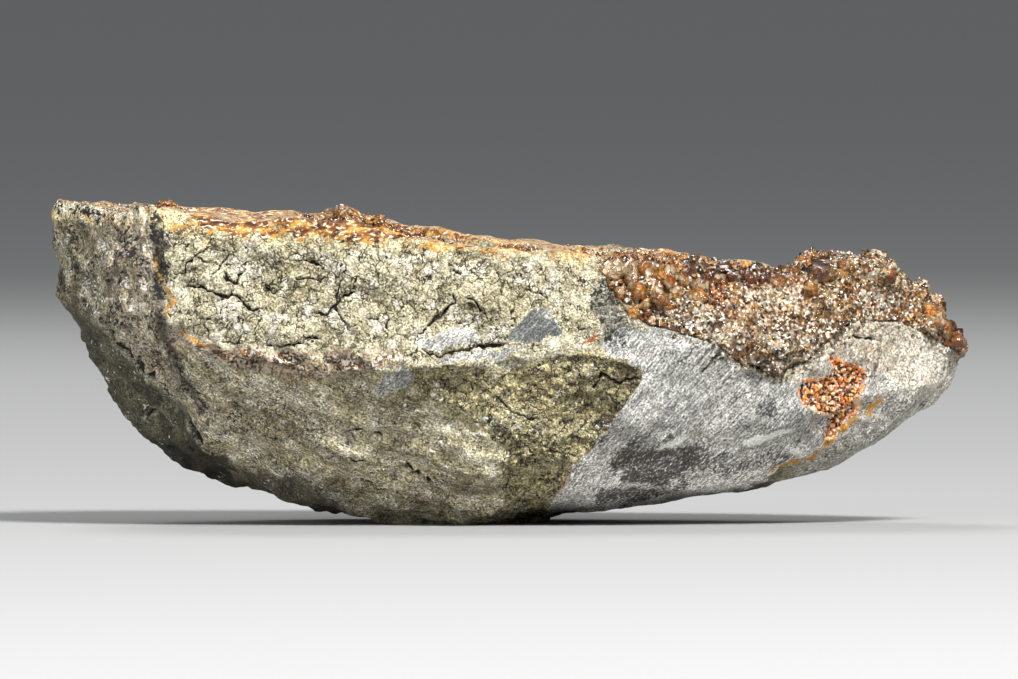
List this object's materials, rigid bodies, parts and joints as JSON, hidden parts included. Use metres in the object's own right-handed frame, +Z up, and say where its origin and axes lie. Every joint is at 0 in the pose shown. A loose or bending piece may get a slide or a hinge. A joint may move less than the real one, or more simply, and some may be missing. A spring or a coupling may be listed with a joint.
{
  "type": "colemanite specimen",
  "caption": "Boat-shaped half nodule of grey-green mudstone whose open hollow is lined with a crust of amber colemanite crystals.",
  "frame": {"origin": "middle of the outline's box, on the surface that the specimen stands on", "axes": "+X along the length, from the blunt end to the narrow crystal-capped end; +Y from the broken front wall to the back; +Z up, out of the open hollow"},
  "size_m": [0.1648, 0.095, 0.0586],
  "materials": {
    "mudstone": "rough, matt, mud-cracked grey-green to cream mudstone with olive, bluish-grey and rusty orange patches",
    "colemanite": "glassy, see-through amber to smoky brown crystals with white sugary broken faces"
  },
  "bodies": {
    "root": {"mudstone_matrix": "mudstone", "colemanite_crust": "colemanite"}
  },
  "joints": []
}
